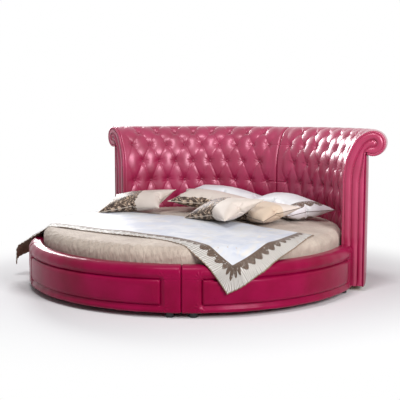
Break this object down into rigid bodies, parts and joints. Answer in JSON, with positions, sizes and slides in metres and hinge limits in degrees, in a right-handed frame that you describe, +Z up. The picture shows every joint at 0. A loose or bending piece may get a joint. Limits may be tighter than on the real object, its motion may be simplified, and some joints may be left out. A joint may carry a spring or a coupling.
{
  "type": "round upholstered bed",
  "caption": "Round bed with a button-tufted scroll headboard, padded rails, slatted deck, mattress, fitted sheet, lace-edged throw and scattered pillows.",
  "frame": {"origin": "on the floor under the middle of the round base, at the underside of the central deck leg's pad", "axes": "+Z up, +Y towards the seam between the two headboard halves, -Y the foot end, +X to the right of somebody who looks from the foot end to the headboard"},
  "size_m": [2.436, 2.3846, 1.0241],
  "materials": {
    "pink_leather": "glossy magenta-pink artificial leather",
    "plywood": "bare plywood",
    "pine": "bare softwood",
    "birch_slat": "satin veneer slat",
    "black_plastic": "matte black plastic",
    "steel_bracket": "black powder coat",
    "zinc_steel": "zinc plated",
    "mattress_core": "felt-wrapped spring and foam core",
    "mattress_ticking": "quilted ticking",
    "taupe_sheet": "soft beige-taupe fitted sheet",
    "white_satin": "white satin with a brown lace border",
    "white_cotton": "white cotton",
    "cream_satin": "cream satin with a brown floral print"
  },
  "bodies": {
    "bed_frame": {"deck_beam": "pine", "deck_beam_hangers": "steel_bracket", "deck_leg_pads": "black_plastic", "deck_legs": "pine", "deck_slat_holders": "black_plastic", "deck_slats_left": "birch_slat", "deck_slats_right": "birch_slat", "feet": "black_plastic", "feet_screws": "zinc_steel", "foot_rail_bottom_board": "plywood", "foot_rail_cover": "pink_leather", "foot_rail_ledge": "pine", "foot_rail_outer_board": "plywood", "foot_rail_panel": "pink_leather", "foot_rail_ribs": "pine", "foot_rail_top_board": "plywood", "headboard_left_back_cover": "pink_leather", "headboard_left_back_skin": "plywood", "headboard_left_bottom_plate": "plywood", "headboard_left_buttons": "pink_leather", "headboard_left_end_facing": "pink_leather", "headboard_left_front_skin": "plywood", "headboard_left_ledge": "pine", "headboard_left_pad": "pink_leather", "headboard_left_ribs": "pine", "headboard_right_back_cover": "pink_leather", "headboard_right_back_skin": "plywood", "headboard_right_bottom_plate": "plywood", "headboard_right_buttons": "pink_leather", "headboard_right_end_facing": "pink_leather", "headboard_right_front_skin": "plywood", "headboard_right_ledge": "pine", "headboard_right_pad": "pink_leather", "headboard_right_ribs": "pine", "left_rail_bottom_board": "plywood", "left_rail_cover": "pink_leather", "left_rail_ledge": "pine", "left_rail_outer_board": "plywood", "left_rail_panel": "pink_leather", "left_rail_ribs": "pine", "left_rail_top_board": "plywood", "right_rail_bottom_board": "plywood", "right_rail_cover": "pink_leather", "right_rail_ledge": "pine", "right_rail_outer_board": "plywood", "right_rail_panel": "pink_leather", "right_rail_ribs": "pine", "right_rail_top_board": "plywood", "seam_bolts": "zinc_steel", "seam_nuts": "zinc_steel"},
    "mattress": {"mattress_core": "mattress_core", "mattress_comfort_layer": "mattress_ticking", "fitted_sheet": "taupe_sheet", "throw": "white_satin"},
    "pillow_back_left": {"pillow_back_left": "white_cotton"},
    "pillow_back_right": {"pillow_back_right": "white_cotton"},
    "sham_rear_left": {"sham_rear_left": "cream_satin"},
    "sham_rear_right": {"sham_rear_right": "cream_satin"},
    "sham_front_left": {"sham_front_left": "cream_satin"},
    "sham_front_middle": {"sham_front_middle": "cream_satin"}
  },
  "joints": [
    {"name": "mattress_lift", "type": "slide", "parent": "bed_frame", "child": "mattress", "axis": [0, 0, 1], "range_m": [0, 0.35]},
    {"name": "pillow_back_left_lift", "type": "slide", "parent": "mattress", "child": "pillow_back_left", "axis": [0, 0, 1], "range_m": [0, 0.2]},
    {"name": "pillow_back_right_lift", "type": "slide", "parent": "pillow_back_left", "child": "pillow_back_right", "axis": [0, 0, 1], "range_m": [0, 0.2]},
    {"name": "sham_rear_left_lift", "type": "slide", "parent": "pillow_back_right", "child": "sham_rear_left", "axis": [0, 0, 1], "range_m": [0, 0.2]},
    {"name": "sham_rear_right_lift", "type": "slide", "parent": "sham_rear_left", "child": "sham_rear_right", "axis": [0, 0, 1], "range_m": [0, 0.2]},
    {"name": "sham_front_left_lift", "type": "slide", "parent": "sham_rear_right", "child": "sham_front_left", "axis": [0, 0, 1], "range_m": [0, 0.2]},
    {"name": "sham_front_middle_lift", "type": "slide", "parent": "sham_rear_right", "child": "sham_front_middle", "axis": [0, 0, 1], "range_m": [0, 0.2]}
  ]
}
